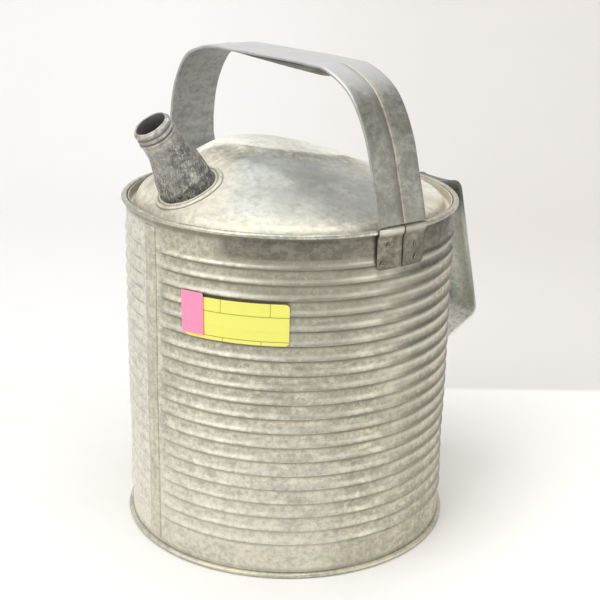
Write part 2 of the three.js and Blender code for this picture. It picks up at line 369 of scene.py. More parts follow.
def galvanised(name, tones, painted_layers, *, metallic=0.7, rough=(0.36, 0.58), spangle_mm=7.0, cloud=0.45):
    """Weathered zinc: spangle, clouds of oxide, fine specks, then painted layers.

    The tones are the middle, the dark and the pale one.
    Each painted layer is a layer name, a colour and an amount; some are stains, some are painted shade and
    painted highlights.
    """
    middle, dark, pale = tones
    g = Graph(name)
    spangle = g.spangle(spangle_mm)
    clouds = g.noise(38, detail=5, roughness=0.6, distortion=0.4)
    streaks = g.noise(10, detail=8, roughness=0.72, distortion=0.5, stretch=(1, 1, 2.0))
    mottle = g.noise(3.4, detail=6, roughness=0.7)
    specks = g.noise(1.3, detail=3, roughness=0.75)
    colour = g.layered(middle, (
        (g.ranged(clouds, 0.4, 0.68, 0, cloud), dark),
        (g.ranged(streaks, 0.5, 0.62, 0, 0.7), pale),
        (g.ranged(streaks, 0.47, 0.38, 0, 0.45), dark),
        (g.ranged(mottle, 0.5, 0.4, 0, 0.5), dark),
        (g.ranged(mottle, 0.52, 0.62, 0, 0.55), pale),
        (g.ranged(spangle, 0.0, 1.0, 0.0, 0.14), dark),
        (g.ranged(specks, 0.54, 0.66, 0, 0.42), dark),
    ))
    roughness = g.ranged(g.math("ADD", streaks, g.times(spangle, 0.3)), 0.35, 0.9, *rough)
    breaks = g.math("ADD", g.times(mottle, 0.5), g.times(streaks, 0.5))
    for layer, stain, amount in painted_layers:
        share = g.painted(layer)
        if layer not in EVEN_LAYERS:
            share = g.times(share, g.ranged(breaks, 0.4, 0.56, 0.5, 1.0))
        colour = g.mix(g.times(share, amount), colour, stain)
    metal = metallic
    if any(layer == "dust" for layer, _, _ in painted_layers):
        metal = g.ranged(g.painted("dust"), 0.0, 1.0, metallic, metallic * 0.35)
    normal = g.bumps(((streaks, 0.3, 0.25), (mottle, 0.35, 0.12), (specks, 0.25, 0.05)))
    return g.finish(colour, roughness, metal, normal)


def darker(colour, share):
    return tuple(channel * share for channel in colour)


def paper(name, colour, line_colour, lines):
    """Matt paper: a faint fibre, slightly grubby patches and thin ruled lines over its own flat sheet.

    Each line is the axis it stands on, its place there, its half width, and where it starts and ends.
    """
    g = Graph(name)
    fibre = g.noise(1.1, detail=4, roughness=0.7)
    grime = g.noise(14, detail=4)
    base = g.layered(colour, (
        (g.ranged(fibre, 0.35, 0.7, 0, 0.1), darker(colour, 0.8)),
        (g.ranged(grime, 0.5, 0.8, 0, 0.14), darker(colour, 0.72)),
    ))
    sheet = g.add("SeparateXYZ", {"Vector": g.add("UVMap", uv_map="sheet").outputs["UV"]}).outputs
    for axis, place, width, start, end in lines:
        across, along = (sheet["X"], sheet["Y"]) if axis == "u" else (sheet["Y"], sheet["X"])
        near = g.math("LESS_THAN", g.math("ABSOLUTE", g.math("SUBTRACT", across, place), 0.0), width)
        inside = g.times(g.math("GREATER_THAN", along, start), g.math("LESS_THAN", along, end))
        base = g.mix(g.times(near, g.times(inside, 0.8)), base, line_colour)
    return g.finish(base, 0.72, 0.0, g.bumps(((fibre, 0.2, 0.03),)))


# Painted layers that lie evenly, with no breaks in them: wear, the painted highlight along the ridges and the
# painted shade patch on the wall
EVEN_LAYERS = ("worn", "ridge", "dull")

# Tones are linear colours. Each metal has a middle, a dark and a pale one.
WALL_PALE = (0.74, 0.70, 0.56)
WALL_TONES = ((0.50, 0.472, 0.37), (0.265, 0.255, 0.20), WALL_PALE)
SEAM_TONES = ((0.58, 0.555, 0.46), (0.36, 0.35, 0.285), WALL_PALE)
ZINC = (0.505, 0.49, 0.41)
ZINC_DARK = (0.285, 0.285, 0.24)
ZINC_PALE = (0.73, 0.71, 0.60)
ZINC_TONES = (ZINC, ZINC_DARK, ZINC_PALE)
STRAP_TONES = ((0.24, 0.239, 0.205), (0.155, 0.155, 0.134), (0.34, 0.338, 0.293))
TAB_TONES = ((0.195, 0.184, 0.142), (0.085, 0.079, 0.060), (0.33, 0.312, 0.248))
WELD_TONES = ((0.20, 0.19, 0.15), (0.10, 0.095, 0.075), (0.32, 0.304, 0.245))
MOUTH_TONES = ((0.40, 0.385, 0.355), (0.19, 0.18, 0.165), (0.64, 0.61, 0.56))
TILT_TONES = ((0.30, 0.322, 0.295), (0.15, 0.175, 0.16), (0.56, 0.57, 0.50))
DUST = (0.58, 0.52, 0.39)
# Dark colour for grime, and for painted shade in grooves, crevices and under parts
GRIME_AND_SHADE = (0.075, 0.07, 0.055)
# Dark colour for rubbed steel and for painted shade high on the wall
RUBBED_AND_SHADE = (0.135, 0.127, 0.103)
SHADE = (0.075, 0.08, 0.064)
COOL = (0.51, 0.54, 0.53)
CREAM = (0.72, 0.675, 0.545)


# ---------------------------------------------------------------- the wall

DENTS = (
    # degrees from +X, height, half width in degrees, half height, depth
    (-150.0, 215.0, 3.0, 3.5, 0.5),
    (-62.0, 176.0, 9.0, 18.0, 0.9),
    (-104.0, 96.0, 15.0, 26.0, 0.6),
    (-40.0, 60.0, 12.0, 22.0, 1.0),
    (30.0, 120.0, 14.0, 30.0, 1.1),
    (118.0, 150.0, 10.0, 20.0, 0.8),
    (150.0, 60.0, 16.0, 24.0, 0.7),
)


# One ridge, from a crest down to the next: a quick fall under the crest, then a slow swell out again.
RIDGE_STEPS = (0, 0.03, 0.07, 0.12, 0.18, 0.25, 0.33, 0.43, 0.54, 0.65, 0.75, 0.84, 0.91, 0.96, 1)
RIDGE_RISES = (1, 0.97, 0.82, 0.55, 0.27, 0.09, 0.01, 0.0, 0.05, 0.15, 0.31, 0.54, 0.78, 0.95, 1)
PLAIN_RISE = (PLAIN_RADIUS - VALLEY_RADIUS) / RIDGE_DEPTH


def below_top_ridge(height):
    """How many ridges a height lies below the top one."""
    return (HIGHEST_RIDGE - height) / RIDGE_PITCH


def ridge_rise(height):
    """0 in the bottom of a groove, 1 on a crest, and the plain level past both ends."""
    below = below_top_ridge(height)
    rise = smooth_line(RIDGE_STEPS, RIDGE_RISES, np.mod(below, 1))
    past_top = smoothstep(-0.06, -0.34, below)
    past_foot = smoothstep(RIDGES - 0.86, RIDGES - 0.5, below)
    past = np.maximum(past_top, past_foot)
    return rise * (1 - past) + PLAIN_RISE * past


def seam_fade(degrees):
    return smoothstep(3.9, 8.2, np.abs(turn_apart(degrees, SEAM_ANGLE)))


def wall_radius(degrees, height):
    nearest = np.round(below_top_ridge(height))
    depth = 0.95 + 0.03 * np.sin(nearest * 2.4 + 1) + 0.04 * waves(np.radians(degrees) * 2, nearest, 3)
    fade = seam_fade(degrees)
    rise = ridge_rise(height) * depth * fade + PLAIN_RISE * (1 - fade)
    radius = VALLEY_RADIUS + RIDGE_DEPTH * rise + 0.10 * waves(np.radians(degrees) * 3, height / 30, 11)
    for at, up, wide, tall, deep in DENTS:
        radius = radius - deep * hump(turn_apart(degrees, at), 0, wide) * hump(height, up, tall)
    return np.minimum(radius, CREST_RADIUS)


def wall_stains_and_painted_light(points):
    """The wall's painted layers: painted shade under the crests, grime and painted shade by the rims, painted
    shade on the middle right and high on the wall, painted highlights on the ridges, painted light on the
    left and low down, rubbed steel under the rim, and dust.
    """
    x, y, height = points.T
    degrees = angles_of(points)
    outside = np.hypot(x, y) > WALL_INSIDE + 0.3
    below = below_top_ridge(height)
    phase = np.mod(below, 1)
    ridged = smoothstep(-0.4, -0.1, below) * smoothstep(RIDGES - 0.6, RIDGES - 0.8, below)
    ridged = ridged * seam_fade(degrees)
    drift = np.clip(0.8 + 0.2 * waves(np.radians(degrees) * 9, height / 9, 21), 0.5, 1)
    # The painted light and shade on the ridges grow weaker towards the bottom
    reach = 0.45 + 0.55 * smoothstep(20, 170, height)
    # The side of the can turned from the light; the painted light and shade on the ridges swap there
    shaded = smoothstep(-106, -82, degrees) * smoothstep(25, -20, degrees)
    lit = 1 - shaded
    # Painted shade: a dark line just under each crest on the lit side
    under = hump(phase, 0.09, 0.07) + 0.35 * hump(phase, 0.2, 0.1)
    # Painted highlight: the upper flank of each crest on the lit side
    ledge_highlight = hump(phase, 0.8, 0.11)
    # Painted shade: the band above each crest on the shaded side
    upper = smoothstep(0.66, 0.86, phase) + smoothstep(0.12, 0.04, phase)
    # Painted highlight: the hollow below each crest on the shaded side
    hollow = hump(phase, 0.37, 0.14)
    # Darker strips just under the top rim and just over the bottom rim: grime and painted shade
    crevice_grime_and_shade = hump(height, CAN_HEIGHT - 4.5, 2.0) + 0.45 * hump(height, 4.2, 1.2)
    band = smoothstep(206, 210, height) * smoothstep(221, 217, height)
    # A darker band under the rim across the front: rubbed steel and painted shade
    rubbed_and_shade = band * smoothstep(-153, -146, degrees) * smoothstep(-46, -56, degrees)
    # Painted shade: the upper wall darker over the front and right
    upper_wall_shade = smoothstep(125, 205, height) * smoothstep(-168, -130, degrees) * smoothstep(10, -60, degrees)
    # Painted shade: a darker band under the rim beside the front tabs
    tab_side_shade = band * smoothstep(-86, -81, degrees) * smoothstep(-54, -62, degrees)
    # Painted shade: the wall darker right of the front tabs, up by the rim
    corner = smoothstep(-92, -84, degrees) * smoothstep(-46, -56, degrees) * smoothstep(186, 200, height)
    # Painted light: the lower wall on the lit side painted paler
    low_painted_light = smoothstep(170, 40, height) * smoothstep(-104, -118, degrees)
    # Painted light: the left side of the wall, where the key light falls, painted paler
    left_painted_light = smoothstep(-172, -179, degrees) + smoothstep(110, 160, degrees)
    # Painted shade: a darker patch over the middle right of the wall, weaker towards the bottom
    dull = smoothstep(-124, -104, degrees) * smoothstep(-56, -82, degrees)
    dull = dull * (0.3 + 0.7 * smoothstep(20, 105, height))
    dust = smoothstep(110, 5, height) * (0.6 + 0.4 * waves(np.radians(degrees) * 6, height / 14, 5))
    marks = {
        # The grime layer: painted shade under the crests and beside the tabs, and grime with painted shade by
        # the rims
        "grime": lit * under * ridged * drift * reach + 0.8 * crevice_grime_and_shade + 0.55 * tab_side_shade,
        # The rubbed layer: rubbed steel, and painted shade high on the wall and beside the tabs
        "rubbed_and_shade": 0.9 * rubbed_and_shade + 0.5 * upper_wall_shade + 1.3 * corner,
        # The pale layer is painted light
        "pale": np.maximum(0.6 * low_painted_light, left_painted_light),
        "dull": dull,
        # The ridge layer is painted highlight and the shade layer painted shade
        "ridge": ridged * drift * reach * (lit * ledge_highlight + shaded * hollow),
        "shade": shaded * upper * ridged * (0.45 + 0.55 * reach) * drift,
        "dust": dust,
    }
    return {name: values * outside for name, values in marks.items()}


WALL_BOTTOM = RIM_TALL + GAP
WALL_TOP = CAN_HEIGHT - RIM_TALL - GAP


def ridge_rows():
    """Heights of the wall's rows of points, packed where the ridges bend most."""
    steps = np.array(RIDGE_STEPS[:-1])
    below = np.concatenate([ridge + steps for ridge in range(RIDGES)])
    rows = HIGHEST_RIDGE - below * RIDGE_PITCH
    above = HIGHEST_RIDGE + np.array([0.04, 0.09, 0.16, 0.25, 0.35, 0.45, 0.6]) * RIDGE_PITCH
    margins = [np.linspace(WALL_BOTTOM, rows.min() - 2, 8), np.linspace(above.max() + 1.5, WALL_TOP, 7)]
    return np.sort(np.concatenate([rows, above, *margins]))


def build_wall():
    degrees = full_turn(300)
    turn, height = np.meshgrid(degrees, ridge_rows(), indexing="ij")
    outer = around_axis(wall_radius(turn, height), turn, height)
    turn, height = np.meshgrid(degrees, np.linspace(WALL_TOP, WALL_BOTTOM, 6), indexing="ij")
    inner = around_axis(WALL_INSIDE, turn, height)
    wall = ring_solid("wall", np.concatenate([outer, inner], axis=1), sharp=50)
    paint(wall, **wall_stains_and_painted_light(can_points(wall)))
    # Coats over the wall, in order: painted light, a painted shade patch, rubbed steel with painted shade,
    # dust, painted highlights on the ridges, painted shade above the crests, and grime with painted shade
    # under the crests
    painted_layers = (
        ("pale", (0.84, 0.82, 0.74), 0.7),
        ("dull", (0.17, 0.165, 0.13), 0.40),
        ("rubbed_and_shade", RUBBED_AND_SHADE, 0.95),
        ("dust", DUST, 0.35),
        ("ridge", (0.80, 0.78, 0.68), 0.55),
        ("shade", SHADE, 0.75),
        ("grime", GRIME_AND_SHADE, 0.85),
    )
    keep(wall, galvanised("wall_zinc", WALL_TONES, painted_layers), "wall_steel", "body_shell")


def build_seam():
    """The upright lock seam: a flat fold with a stepped edge on its left."""
    half_width = 3.1
    height = np.linspace(6, 216.5, 120)
    across = np.linspace(-1, 1, 15)
    rise = 0.42 * (1 - np.abs(across) ** 6)
    rise[0] = rise[-1] = 0
    rings = []
    for up in height:
        wander = 0.12 * math.sin(up / 23) + 0.06 * math.sin(up / 7)
        degrees = SEAM_ANGLE + wander - across * half_width
        outer = PLAIN_RADIUS + 0.25 + rise + 0.05 * math.sin(up / 11)
        front = around_axis(outer, degrees, up)
        back = around_axis(PLAIN_RADIUS - 0.35, degrees[::-1], up)
        rings.append(np.concatenate([front, back]))
    seam = swept_solid("lock_seam", np.array(rings))
    points = can_points(seam)
    degrees = angles_of(points) % 360
    height = points[:, 2]
    edge = hump(degrees, SEAM_ANGLE - half_width + 0.1, 0.35)
    edge = edge + 0.4 * hump(degrees, SEAM_ANGLE + half_width, 0.3)
    paint(seam, grime=edge * (0.7 + 0.3 * np.sin(height / 5)), dust=smoothstep(70, 5, height))
    painted_layers = (("dust", DUST, 0.5), ("grime", GRIME_AND_SHADE, 0.8))
    keep(seam, galvanised("seam_zinc", SEAM_TONES, painted_layers), "seam_steel", "side_seam")


# ---------------------------------------------------------------- rims, floor and head

def rim_loop(bottom):
    """The section of a rolled rim, with its inner edge against the wall."""
    inside = WALL_INSIDE + GAP
    top = bottom + RIM_TALL
    half = RIM_TALL / 2
    outer = arc((RIM_RADIUS - half, bottom + half), half, -90, 90, 12)
    inner = arc((inside + 1.0, top - 1.0), 1.0, 90, 180, 5)
    return [*outer, *inner, (inside, bottom + 0.2), (inside + 0.2, bottom)]


def build_rim(name, node, bottom, tone, dusty):
    """A rolled rim. The top one is a little uneven; the bottom one has to stand flat."""
    on_floor = bottom == 0

    def uneven(radius, turn, height):
        share = smoothstep(RIM_RADIUS - 3, RIM_RADIUS, radius)
        radius = radius - share * (0.12 + 0.12 * waves(np.radians(turn) * 5, height, 31))
        lift = 0.12 * waves(np.radians(turn) * 4, 0 * height, 33)
        return radius, np.clip(height - 0.12 + lift, bottom, bottom + RIM_TALL)

    rim = turned_solid(name, rim_loop(bottom), 320, None if on_floor else uneven)
    points = can_points(rim)
    height = points[:, 2]
    patches = 0.5 + 0.5 * waves(np.radians(angles_of(points)) * 8, height / 3, 41)
    # Darker along each rim's bottom edge: grime and painted shadow under the bead
    paint(rim, grime=smoothstep(bottom + 1.0, bottom, height) * 0.9, dust=patches * dusty)
    painted_layers = (("dust", DUST, 0.75), ("grime", GRIME_AND_SHADE, 0.8))
    zinc = galvanised(name + "_zinc", (tone, ZINC_DARK, ZINC_PALE), painted_layers, rough=(0.3, 0.5))
    keep(rim, zinc, "rim_steel", node)


def build_floor():
    """The recessed floor, with one pressed ring and a turned-down edge."""
    low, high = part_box("bottom_head")
    outside = (high.x - low.x) / 2 / MM
    level = high.z / MM - SHEET
    reach = np.linspace(0, outside - 2.6, 60)
    press = 0.9 * hump(reach, 78, 3.2) + 0.35 * hump(reach, 40, 14)
    under = [(r, level + p * 0.9) for r, p in zip(reach, press)]
    edge = arc((outside - 2.0, level - 1.2), 1.2, 90, 0, 5)
    lip = [(outside - SHEET, 0.9), (outside, 0.9)]
    bend = arc((outside - 2.0, level - 1.2), 2.0, 0, 90, 6)
    top = [(r, level + p * 0.9 + SHEET) for r, p in zip(reach[::-1], press[::-1])]
    floor = turned_solid("floor_sheet", [*under, *edge, *lip, *bend, *top], 160)
    x, y = can_points(floor)[:, :2].T
    reach = np.hypot(x, y)
    # Darker in the pressed ring and towards the edge: grime and painted shade in the recesses
    grime = 0.5 * hump(reach, 75, 2.5) + smoothstep(96, 104, reach)
    paint(floor, grime=grime, dust=0.5 + 0.5 * waves(x / 17, y / 17, 51))
    painted_layers = (("dust", DUST, 0.45), ("grime", GRIME_AND_SHADE, 0.6))
    keep(floor, galvanised("floor_zinc", ZINC_TONES, painted_layers), "rim_steel", "bottom_head")


def crease_line(x):
    """Where the flatter crown breaks into the front face."""
    return np.interp(x, (-45, -34, -26, -11, 12, 46, 60), (30, 10, -3, -13, -15.5, -7.5, 0))


def dome_height(x, y):
    """The outside of the domed head, with its lean and the soft knocks of an old can."""
    reach = np.hypot(x, y)
    share = np.clip(1 - reach / DOME_RADIUS, 0, 1)
    height = smooth_line(np.array(DOME_SHARES) * RIM_RADIUS, DOME_HEIGHTS, reach)
    height = height + (DOME_LEAN[0] * x + DOME_LEAN[1] * y) * share
    inside = smoothstep(0, 0.12, share)
    across = y - crease_line(x)
    along = smoothstep(-48, -36, x) * smoothstep(62, 40, x)
    height = height + inside * along * (0.8 * hump(across, 0, 4) - 1.1 * hump(across, -16, 13))
    height = height + 2.3 * hump(np.hypot(x + 35, y - 38), 0, 15)
    height = height - 1.8 * hump(np.hypot(x - 14, y - 10), 0, 24)
    height = height + inside * 0.22 * waves(x / 13, y / 13, 61)
    return height


def build_head():
    inside = WALL_INSIDE - GAP
    reach = np.concatenate([np.linspace(0, 0.9 * RIM_RADIUS, 56), np.linspace(0.905, 0.93, 7) * RIM_RADIUS])
    degrees = full_turn(224)

    def surface(radii, drop):
        turn, radius = np.meshgrid(degrees, radii, indexing="ij")
        flat = around_axis(radius, turn, 0.0)
        return around_axis(radius, turn, dome_height(flat[..., 0], flat[..., 1]) - drop)

    def edge(points):
        turn, radius = np.meshgrid(degrees, [p[0] for p in points], indexing="ij")
        return around_axis(radius, turn, np.broadcast_to([p[1] for p in points], radius.shape))

    margin = [
        *arc((inside - SHEET - 1.2, SHOULDER + 1.2), 1.2, -90, 0, 5),
        (inside - SHEET, CAN_HEIGHT - 1),
        (inside, CAN_HEIGHT - 1),
        *arc((inside - SHEET - 1.2, SHOULDER + 1.2), 1.2 + SHEET, 0, -90, 6),
    ]
    under = np.linspace(0.925, 0, 40) * RIM_RADIUS
    loops = np.concatenate([surface(reach, 0), edge(margin), surface(under, SHEET)], axis=1)
    head = pierce(ring_solid("domed_head", loops, sharp=35))
    points = can_points(head)
    x, y = points[:, :2].T
    reach = np.hypot(x, y)
    degrees = angles_of(points)
    front = smoothstep(-178, -166, degrees) * smoothstep(-20, -60, degrees)
    plateau = smoothstep(-3, 5, y - crease_line(x)) * smoothstep(70, 50, reach)
    # Dust near the rim and round the spout, and painted light: the plateau and the right of the dome painted
    # paler
    dust_and_light = np.maximum(smoothstep(84, 100, reach) * 0.8, smoothstep(44, 26, np.hypot(x + 85, y)) * 0.9)
    dust_and_light = np.maximum(dust_and_light, 0.85 * plateau) + 0.6 * smoothstep(15, 70, x) + 0.25 * waves(x / 11, y / 11, 71)
    rust = hump(x, 58, 8) * hump(y, -76, 9) + 0.5 * smoothstep(99, 103, reach) * smoothstep(60, 0, -x)
    drift = smoothstep(0.1, 0.9, waves((x + y) / 15, (x - 0.8 * y) / 5, 73, count=9))
    blot = smoothstep(-0.2, 0.6, waves(x / 7, y / 4, 74, count=9)) * hump(np.hypot(x + 8, y + 48), 0, 30)
    paint(
        head,
        stain=np.clip(0.5 * front * drift + 0.8 * blot, 0, 1) * smoothstep(16, 26, reach),
        cool=front * smoothstep(14, 30, reach) * smoothstep(100, 84, reach),
        # Painted light: the flatter crown, facing up, and the right of the dome painted pale
        crown=plateau + 0.45 * smoothstep(40, 75, x),
        dust=dust_and_light,
        rust=rust,
        # Painted shade: a dark ring in the gap where the head meets the rim, lighter on the right
        grime=smoothstep(103, 105.5, reach) * (0.8 - 0.6 * smoothstep(20, 70, x)),
    )
    painted_layers = (
        ("cool", COOL, 0.7),
        ("stain", (0.27, 0.295, 0.285), 0.55),
        ("dust", CREAM, 0.75),
        ("crown", (0.88, 0.87, 0.81), 0.9),
        ("rust", (0.52, 0.40, 0.24), 0.6),
        ("grime", GRIME_AND_SHADE, 0.8),
    )
    keep(head, galvanised("head_zinc", ZINC_TONES, painted_layers), "head_steel", "top_head")


def spout_matrix():
    foot = Vector(SPOUT_FOOT) * MM + can_axis
    return Matrix.Translation(foot) @ Matrix.Rotation(-SPOUT_TILT, 4, "Y")


def pierce(head):
    """Cuts the hole under the spout."""
    sides = 64
    aside, along = FOOT_SHIFT
    ring = [((HOLE_RADIUS * math.cos(a) + aside) * MM, (HOLE_RADIUS * math.sin(a) + along) * MM)
            for a in np.arange(sides) * math.tau / sides]
    points = [(x, y, -0.02) for x, y in ring] + [(x, y, 0.02) for x, y in ring]
    faces = [tuple(reversed(range(sides))), tuple(range(sides, 2 * sides))]
    faces += [(i, (i + 1) % sides, sides + (i + 1) % sides, sides + i) for i in range(sides)]
    mesh = bpy.data.meshes.new("spout_hole")
    mesh.from_pydata(points, [], faces)
    cutter = link_new("spout_hole", mesh)
    cutter.matrix_world = spout_matrix()
    cut = head.modifiers.new("hole", "BOOLEAN")
    cut.operation = "DIFFERENCE"
    cut.object = cutter
    bpy.context.view_layer.update()
    shaped = head.evaluated_get(bpy.context.evaluated_depsgraph_get())
    mesh = bpy.data.meshes.new_from_object(shaped)
    head.modifiers.clear()
    head.data = mesh
    bpy.data.objects.remove(cutter)
    smooth(mesh, 35)
    return head


# ---------------------------------------------------------------- the spout

NECK_RADII = (17.3, 17.3, 17.0, 16.0, 14.2, 12.5, 11.8, 11.7)
NECK_HEIGHTS = (-9, 0, 5.6, 12, 19, 25, 31, 36.5)


def from_spout(radius, degrees, height):
    """Points of the spout's own frame, brought into the can's; its foot stands a little off the axis."""
    local = around_axis(radius, degrees, height)
    aside = smoothstep(18, 2, local[..., 2])
    local[..., 0] += FOOT_SHIFT[0] * aside
    local[..., 1] += FOOT_SHIFT[1] * aside
    cos_tilt, sin_tilt = math.cos(SPOUT_TILT), math.sin(SPOUT_TILT)
    x = local[..., 0] * cos_tilt - local[..., 2] * sin_tilt
    z = local[..., 0] * sin_tilt + local[..., 2] * cos_tilt
    return np.stack([x + SPOUT_FOOT.x, local[..., 1] + SPOUT_FOOT.y, z + SPOUT_FOOT.z], axis=-1)


def dome_along_spout(radius, degrees):
    """How high up the spout's axis the dome lies, at each place round it."""
    radius, degrees = np.broadcast_arrays(radius, degrees)
    low = np.full(radius.shape, -30.0)
    high = np.full(radius.shape, 20.0)
    for _ in range(30):
        middle = (low + high) / 2
        point = from_spout(radius, degrees, middle)
        below = point[..., 2] < dome_height(point[..., 0], point[..., 1])
        low = np.where(below, middle, low)
        high = np.where(below, high, middle)
    return (low + high) / 2


# The collar's section: distance from the spout's axis, and height over the dome
COLLAR_SECTION = (
    (17.7, -0.6), (17.7, 0.5), (17.85, 0.95), (18.2, 1.25), (18.6, 1.25),
    (19.0, 0.95), (19.3, 0.5), (19.55, 0.42), (19.8, 0.75), (20.3, 1.2),
    (21.0, 1.3), (21.7, 1.05), (22.2, 0.6), (22.5, 0.15), (22.6, -0.6),
)


def build_collar():
    section = np.array(COLLAR_SECTION)
    rings = []
    for turn in full_turn(144):
        wobble = 1 + 0.12 * math.sin(math.radians(turn * 3 + 20)) + 0.08 * math.sin(math.radians(turn * 7))
        shift = 0.25 * math.sin(math.radians(turn * 2 + 70)) * smoothstep(18, 20, section[:, 0])
        reach = section[:, 0] + shift
        height = dome_along_spout(reach, turn) + section[:, 1] * wobble
        rings.append(from_spout(reach, turn, height))
    collar = ring_solid("spout_seat", np.array(rings), sharp=60)
    reach = np.tile(section[:, 0], len(rings))
    # Painted shade: dark lines in the collar's groove and along its inner and outer edges
    groove = hump(reach, 19.4, 0.3) + smoothstep(18.1, 17.7, reach) + hump(reach, 22.5, 0.3)
    paint(collar, grime=groove, dust=np.full(len(reach), 0.8))
    painted_layers = (("dust", CREAM, 0.85), ("grime", GRIME_AND_SHADE, 0.8))
    keep(collar, galvanised("collar_zinc", (ZINC, ZINC_DARK, CREAM), painted_layers), "collar_steel", "spout_collar")


def build_neck():
    turns = 144
    degrees = full_turn(turns)
    heights = np.concatenate([np.linspace(-8, 0, 6)[:-1], np.linspace(0, NECK_HEIGHTS[-1], 56)])
    rings = []
    for turn in degrees:
        foot = float(dome_along_spout(17.3, turn)) + 0.35
        outer = smooth_line(NECK_HEIGHTS, NECK_RADII, heights)
        lumps = 0.22 * waves(math.radians(turn) * 4, heights / 4.5, 81)
        lumps = lumps + 0.16 * waves(math.radians(turn) * 2, heights / 9, 82)
        outer = outer + lumps * smoothstep(NECK_HEIGHTS[-1], 28, heights)
        standing = np.maximum(heights, foot)
        inner = smooth_line(NECK_HEIGHTS, NECK_RADII, heights[::-1]) - SHEET
        loop_radius = np.concatenate([outer, inner])
        loop_height = np.concatenate([standing, standing[::-1]])
        rings.append(from_spout(loop_radius, turn, loop_height))
    neck = ring_solid("spout_tube", np.array(rings), sharp=60)
    turn = np.repeat(np.radians(degrees), 2 * len(heights))
    along = np.tile(np.concatenate([heights, heights[::-1]]), turns)
    inside = np.tile(np.repeat([False, True], len(heights)), turns)
    edge = 4.2 + 1.1 * np.sin(turn * 3 + 0.6) + 0.5 * np.sin(turn * 8) + 0.4 * np.sin(turn * 17)
    paint(
        neck,
        burnt=smoothstep(edge + 1.6, edge - 1.2, along),
        brazed=hump(along, edge + 0.8, 1.2) * ~inside,
        # Painted shade: the inside of the tube
        bore=inside * 1.0,
        worn=smoothstep(28, 36, along) * ~inside,
    )
    keep(neck, spout_metal(), "spout_steel", "spout_neck")


def spout_metal():
    """Dull lead-grey metal with pale upright scratches, a scorched foot and a worn tip; the inside of the
    tube is painted dark as painted shade.
    """
    g = Graph("spout_zinc")
    mottle = g.noise(3.6, detail=7, roughness=0.7)
    clouds = g.noise(15, detail=5, distortion=0.8)
    scratch = g.noise(2.6, detail=7, roughness=0.74, distortion=2.2, stretch=(1, 1, 0.35))
    cross = g.noise(3.4, detail=6, roughness=0.72, distortion=1.8, stretch=(1, 0.4, 1))
    # Painted shade: the dark tones inside the tube
    bore = g.mix(g.ranged(mottle, 0.42, 0.6), (0.12, 0.11, 0.115), (0.32, 0.30, 0.29))
    colour = g.layered((0.15, 0.145, 0.132), (
        (g.ranged(clouds, 0.38, 0.62), (0.28, 0.272, 0.245)),
        (g.ranged(mottle, 0.5, 0.66, 0, 0.7), (0.42, 0.41, 0.37)),
        (g.ranged(mottle, 0.5, 0.34, 0, 0.6), (0.09, 0.088, 0.08)),
        (g.times(g.painted("burnt"), g.ranged(mottle, 0.6, 0.42, 0.3, 0.85)), (0.07, 0.068, 0.062)),
        (g.ranged(scratch, 0.54, 0.59, 0, 0.8), (0.56, 0.55, 0.50)),
        (g.ranged(cross, 0.57, 0.62, 0, 0.6), (0.54, 0.53, 0.48)),
        (g.times(g.painted("brazed"), g.ranged(scratch, 0.42, 0.56, 0.0, 0.75)), (0.60, 0.58, 0.52)),
        (g.times(g.painted("worn"), g.ranged(mottle, 0.3, 0.55, 0.2, 0.7)), (0.5, 0.48, 0.43)),
        (g.painted("bore"), bore),
    ))
    roughness = g.ranged(mottle, 0.3, 0.7, 0.66, 0.45)
    normal = g.bumps(((clouds, 0.5, 1.2), (mottle, 0.6, 0.3), (scratch, 0.4, 0.12)))
    return g.finish(colour, roughness, 0.6, normal)


def build_mouth():
    start = NECK_HEIGHTS[-1] + GAP
    bore = 9.7
    loop = [
        (bore, start),
        (11.7, start),
        (11.9, start - 0.8),
        *arc((11.7, start + 0.1), 0.75, -55, 60, 7),
        (11.35, start + 1.25),
        *arc((10.95, start + 2.9), 1.15, -60, 60, 8),
        (11.0, start + 4.3),
        (11.0, start + 4.8),
        *arc((10.75, start + 6.7), 1.4, -62, 66, 9),
        (11.0, start + 8.5),
        (10.7, start + 8.92),
        (10.2, start + 9.0),
        (bore + 0.25, start + 8.85),
        (bore, start + 8.3),
    ]
    loop = np.array(loop)
    rings = []
    for turn in full_turn(128):
        dent = 1 + 0.018 * math.sin(math.radians(turn * 2 + 40)) + 0.008 * math.sin(math.radians(turn * 5))
        scale = np.where(loop[:, 0] < 10.0, dent - 0.01, (dent + 1) / 2 - 0.012)
        rings.append(from_spout(loop[:, 0] * scale, turn, loop[:, 1]))
    mouth = ring_solid("mouth_bead", np.array(rings), sharp=60)
    points = can_points(mouth) - np.array(SPOUT_FOOT)
    along = -points[:, 0] * math.sin(SPOUT_TILT) + points[:, 2] * math.cos(SPOUT_TILT) - start
    side = points[:, 0] * math.cos(SPOUT_TILT) + points[:, 2] * math.sin(SPOUT_TILT)
    reach = np.hypot(side, points[:, 1])
    # Painted shade: dark lines in the grooves between the beads, and the inside of the bore painted dark
    groove = 0.9 * hump(along, 4.5, 0.5) + 0.8 * hump(along, 1.25, 0.4)
    bore_side = smoothstep(10.3, 9.9, reach)
    paint(mouth, grime=np.clip(groove, 0, 1) * (1 - bore_side), bore=bore_side * smoothstep(8.8, 8.3, along))
    painted_layers = (("grime", (0.07, 0.064, 0.062), 0.85), ("bore", (0.17, 0.155, 0.165), 0.95))
    zinc = galvanised("mouth_zinc", MOUTH_TONES, painted_layers, metallic=0.6, rough=(0.42, 0.6), spangle_mm=2.5)
    keep(mouth, zinc, "mouth_steel", "spout_mouth")


# ---------------------------------------------------------------- the carry handle

